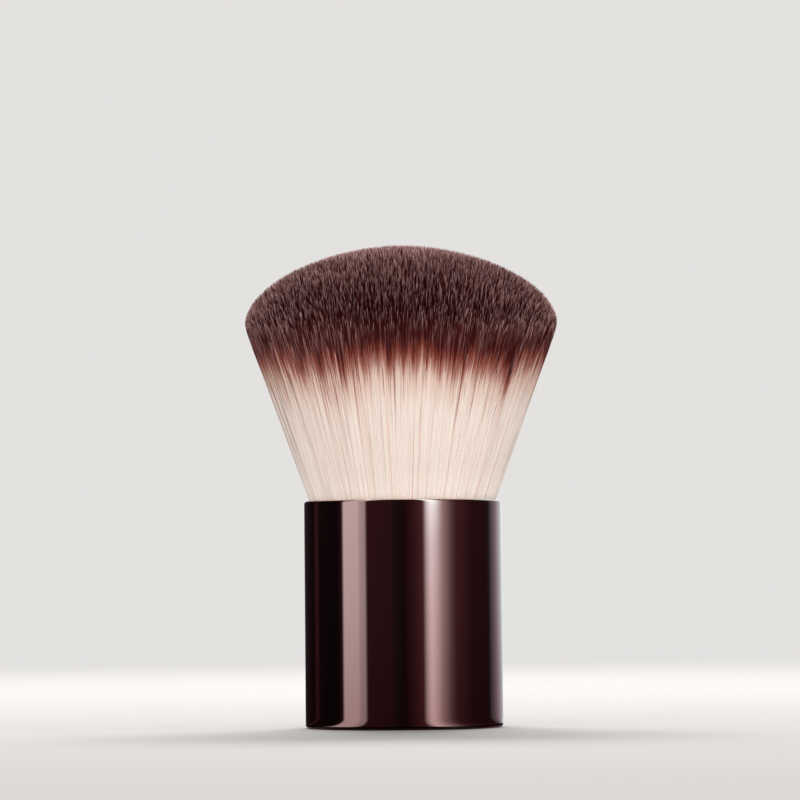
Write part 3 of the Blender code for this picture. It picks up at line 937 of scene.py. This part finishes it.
def add_lamps(scene):
    """The lamps: three soft ones in front, one above, and one behind for the dome's filaments alone."""
    middle = (0, 0, 0.05)
    for made in (lamp("key_lamp", (0.22, -1.1, 0.14), middle, (0.8, 0.26), 6.1),
                 lamp("fill_lamp", (-0.75, -0.85, 0.16), middle, (0.6, 0.3), 3.75),
                 lamp("side_lamp", (1.05, -0.35, 0.16), middle, (0.6, 0.3), 2.9)):
        made.visible_glossy = False
    lamp("top_lamp", (0, 0.55, 0.8), (0, 0, 0.06), (0.8, 0.4), 10.0)
    rim = lamp("rim_lamp", (-0.15, 0.65, 0.34), (0, 0, 0.075), (0.9, 0.3), 18.0)
    dome = [piece for piece in scene.objects if piece.name.startswith("dome_filaments")]
    light_only(rim, "lit_by_rim_lamp", dome)


def set_world(scene):
    """An even, faintly warm light from all round."""
    world = bpy.data.worlds.new("Studio")
    scene.world = world
    world.use_nodes = True
    background = world.node_tree.nodes["Background"]
    background.inputs["Color"].default_value = linear("#F4F2F0")
    background.inputs["Strength"].default_value = 0.38
    scene.view_settings.view_transform = "Standard"


# The camera, as fitted to the outline in the photograph
CAMERA_LENS_MM = 180
CAMERA_PLACE = (-0.00028, -0.650, 0.0196)
CAMERA_PITCH = math.radians(2.954)
CAMERA_ROLL = math.radians(-0.5)


def add_camera(scene):
    """The camera, which looks along +Y and a little up."""
    data = bpy.data.cameras.new("camera")
    data.lens = CAMERA_LENS_MM
    data.sensor_width = 36
    data.clip_start, data.clip_end = 0.01, 10
    camera = bpy.data.objects.new("camera", data)
    scene.collection.objects.link(camera)
    turn = Matrix.Rotation(math.pi / 2 + CAMERA_PITCH, 4, "X") @ Matrix.Rotation(CAMERA_ROLL, 4, "Z")
    camera.matrix_world = Matrix.Translation(CAMERA_PLACE) @ turn
    scene.camera = camera


class BRUSH_OT_stage(bpy.types.Operator):
    """Set the pale floor and backdrop, the soft lamps and the camera"""
    bl_idname = "brush.stage"
    bl_label = "Stage"

    def execute(self, context):
        sheet = paper()
        sweep = sweep_mesh("backdrop", front=-2.2, back=1.6, half_width=2.4, top=2.6, bend=0.7)
        backdrop = place("backdrop", sweep, sheet)
        # A far wall in the same paper closes the view on the other sides, without lighting the brush
        far_wall = place("far_wall", round_sheet("far_wall", ((4.0, 3.2), (4.0, -0.5))), sheet)
        far_wall.visible_diffuse = False
        far_wall.visible_shadow = False
        # An upright wall with a flat rim just off the floor, seen only in reflections
        section = ((SURROUND_RADIUS, SURROUND_TOP), (SURROUND_RADIUS, SURROUND_BASE),
                   (SURROUND_INNER_RADIUS, SURROUND_BASE))
        surround = place("surround", round_sheet("surround", section), surround_light(), smooth=False)
        surround.visible_camera = False
        surround.visible_diffuse = False
        surround.visible_shadow = False
        surround.visible_transmission = False
        # The strips and cards are for the polished handle, and leave the filaments and the floor as they are
        light_only(surround, "lit_by_surround", [bpy.data.objects["handle_shell_polished"]])
        add_lamps(context.scene)
        set_world(context.scene)
        add_camera(context.scene)
        return {"FINISHED"}


class BRUSH_PT_panel(bpy.types.Panel):
    """Sizes, colours and buttons of the brush"""
    bl_idname = "BRUSH_PT_panel"
    bl_label = "Finishing powder brush"
    bl_space_type = "VIEW_3D"
    bl_region_type = "UI"
    bl_category = "Brush"

    def draw(self, context):
        for group in (context.scene.brush_handle, context.scene.brush_head):
            box = self.layout.box()
            for name in group.__annotations__:
                box.prop(group, name)
        for operator in OPERATORS:
            self.layout.operator(operator.bl_idname)


GROUPS = (BrushHandle, BrushHead)
OPERATORS = (BRUSH_OT_handle, BRUSH_OT_filament_core, BRUSH_OT_side_filaments,
             BRUSH_OT_dome_filaments, BRUSH_OT_inner_parts, BRUSH_OT_stage)


def register():
    for kind in (*GROUPS, *OPERATORS, BRUSH_PT_panel):
        bpy.utils.register_class(kind)
    bpy.types.Scene.brush_handle = PointerProperty(type=BrushHandle)
    bpy.types.Scene.brush_head = PointerProperty(type=BrushHead)


def unregister():
    del bpy.types.Scene.brush_head
    del bpy.types.Scene.brush_handle
    for kind in reversed((*GROUPS, *OPERATORS, BRUSH_PT_panel)):
        bpy.utils.unregister_class(kind)


def main():
    register()
    clear_scene_defaults()
    head = bpy.context.scene.brush_head
    dyed_filament(head, Fan(bpy.context.scene.brush_handle, head))
    bpy.ops.brush.handle()
    bpy.ops.brush.filament_core()
    bpy.ops.brush.side_filaments()
    bpy.ops.brush.dome_filaments()
    bpy.ops.brush.inner_parts()
    bpy.ops.brush.stage()
    bpy.context.view_layer.update()


if __name__ == "__main__":
    main()
